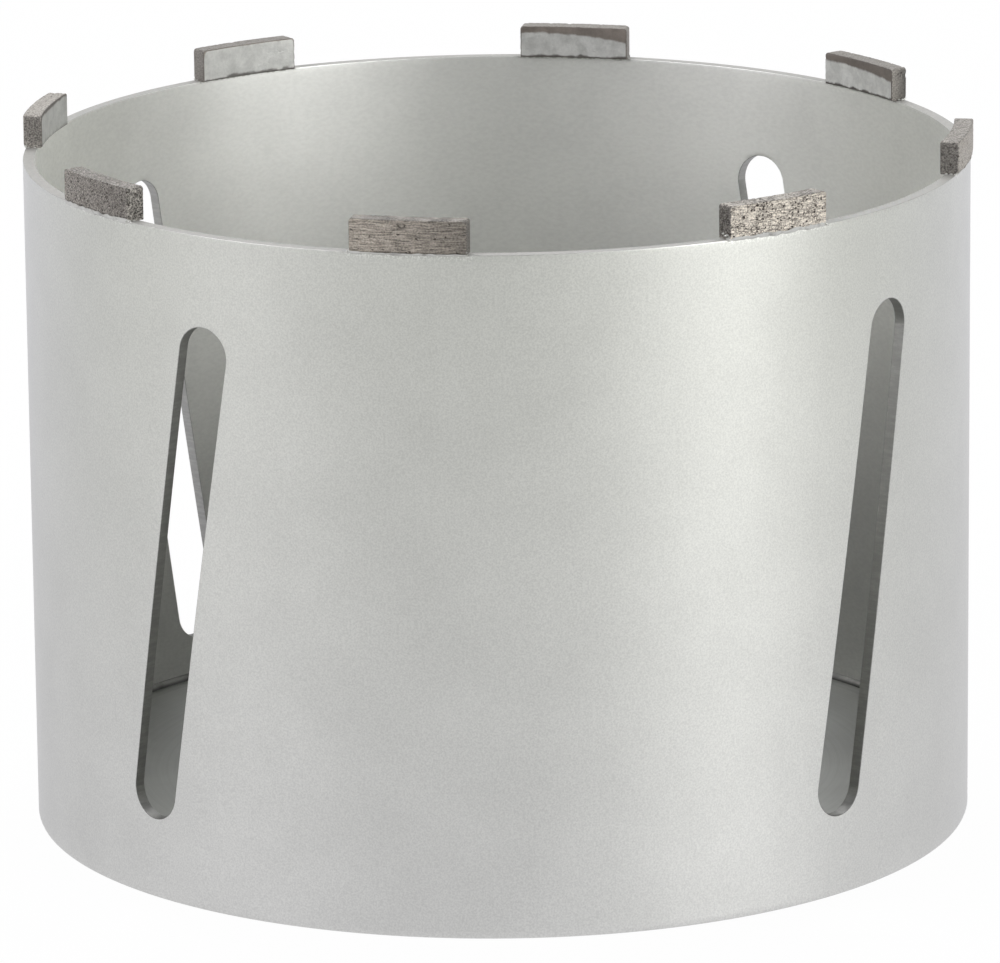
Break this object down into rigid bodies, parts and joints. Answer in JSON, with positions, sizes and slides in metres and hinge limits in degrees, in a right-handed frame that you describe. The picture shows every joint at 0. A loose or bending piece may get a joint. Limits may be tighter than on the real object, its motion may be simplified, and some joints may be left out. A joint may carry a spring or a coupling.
{
  "type": "diamond core bit",
  "caption": "Wide dry-cutting core bit: slotted steel barrel closed by a base plate with a threaded hub, and diamond segments welded round its open mouth.",
  "frame": {"origin": "centre of the closed end's bottom face, on the barrel's axis", "axes": "+Z along the barrel's axis, towards the cutting end; the slots' middles lie towards -Y, +X, +Y and -X"},
  "size_m": [0.2, 0.2, 0.15],
  "materials": {
    "barrel_steel": "satin, fine grain blasted and plated silver",
    "plate_steel": "turned and satin plated",
    "hub_steel": "turned",
    "weld_metal": "rippled weld bead",
    "segment_matrix": "sintered metal matrix with diamond grit, rough"
  },
  "bodies": {
    "root": {"barrel": "barrel_steel", "base_plate": "plate_steel", "hub": "hub_steel", "wall_weld": "weld_metal", "hub_weld": "weld_metal", "segment_1": "segment_matrix", "segment_2": "segment_matrix", "segment_3": "segment_matrix", "segment_4": "segment_matrix", "segment_5": "segment_matrix", "segment_6": "segment_matrix", "segment_7": "segment_matrix", "segment_8": "segment_matrix"}
  },
  "joints": []
}
